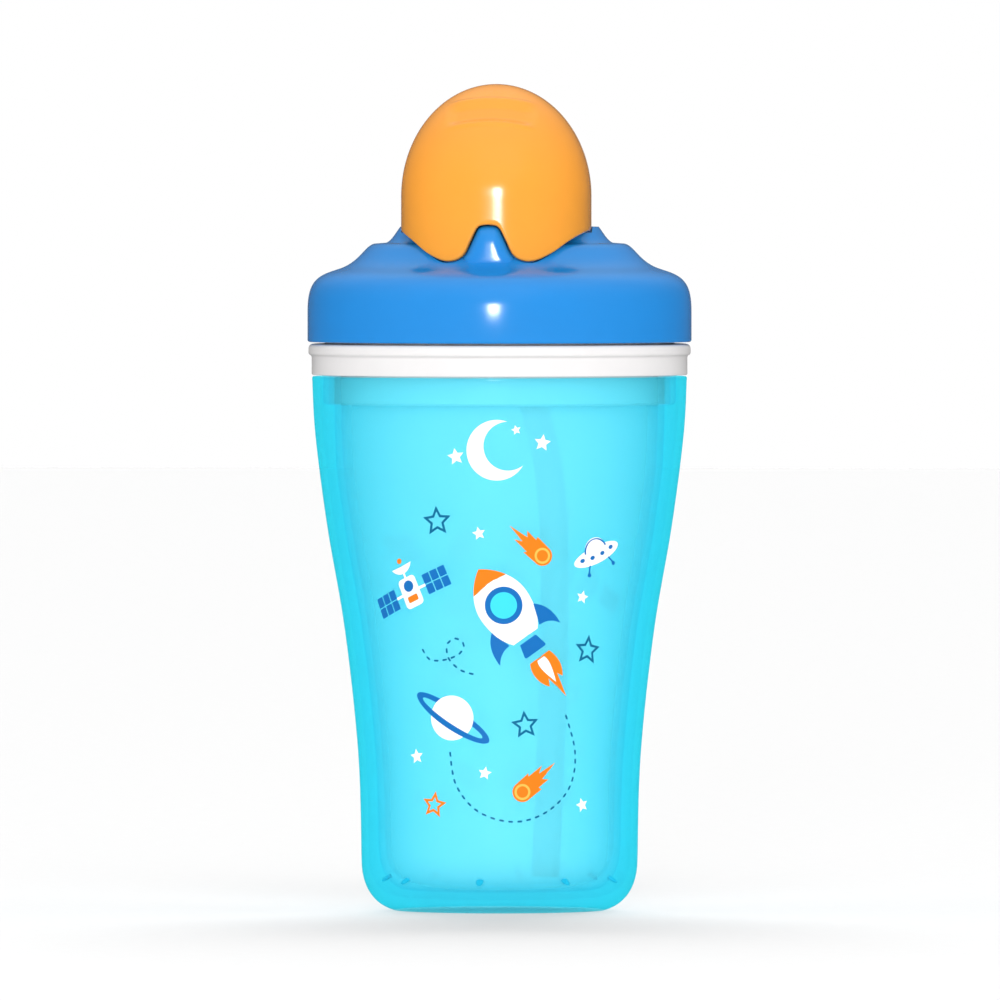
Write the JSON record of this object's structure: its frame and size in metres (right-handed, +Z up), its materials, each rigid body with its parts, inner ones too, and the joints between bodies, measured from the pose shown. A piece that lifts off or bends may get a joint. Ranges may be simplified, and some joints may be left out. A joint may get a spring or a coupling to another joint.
{
  "type": "insulated toddler straw cup",
  "caption": "Double-walled toddler cup with a threaded collar, a screw lid and a flip-up domed cover that folds a soft straw.",
  "frame": {"origin": "centre of the foot, on the surface that the cup stands on", "axes": "+Z up along the cup's axis, -Y towards the drinker, the cover's hinge at +Y with its axis along X"},
  "size_m": [0.084, 0.084, 0.1807],
  "materials": {
    "cyan_clear": "clear tinted, glossy",
    "milky_liner": "milky translucent",
    "white_plastic": "satin",
    "blue_plastic": "glossy",
    "orange_plastic": "glossy",
    "clear_silicone": "soft matt, translucent"
  },
  "bodies": {
    "cup": {"outer_shell": "cyan_clear", "inner_liner": "milky_liner", "collar_ring": "white_plastic"},
    "lid_seal": {"lid_gasket": "clear_silicone"},
    "lid": {"screw_lid": "blue_plastic", "vent_valve": "clear_silicone", "straw_spout": "clear_silicone", "straw_tube": "clear_silicone"},
    "straw_end": {"straw_tip": "clear_silicone"},
    "cover": {"flip_cover": "orange_plastic"}
  },
  "joints": [
    {"name": "lid_lift", "type": "slide", "parent": "cup", "child": "lid_seal", "axis": [0, 0, 1], "range_m": [0, 0.008]},
    {"name": "lid_twist", "type": "hinge", "parent": "lid_seal", "child": "lid", "pos_m": [0, 0, 0.13], "axis": [0, 0, 1], "range_deg": [0, 360]},
    {"name": "cover_flip", "type": "hinge", "parent": "lid", "child": "cover", "pos_m": [0, 0.0244, 0.1516], "axis": [-1, 0, 0], "range_deg": [0, 110]},
    {"name": "straw_bend", "type": "hinge", "parent": "lid", "child": "straw_end", "pos_m": [0, 0.0025, 0.1625], "axis": [-1, 0, 0], "range_deg": [0, 80]}
  ],
  "couplings": [
    {"joint": "lid_lift", "follows": "lid_twist", "m_per_rad": 0.0012732},
    {"joint": "straw_bend", "follows": "cover_flip", "ratio": 0.72727}
  ]
}
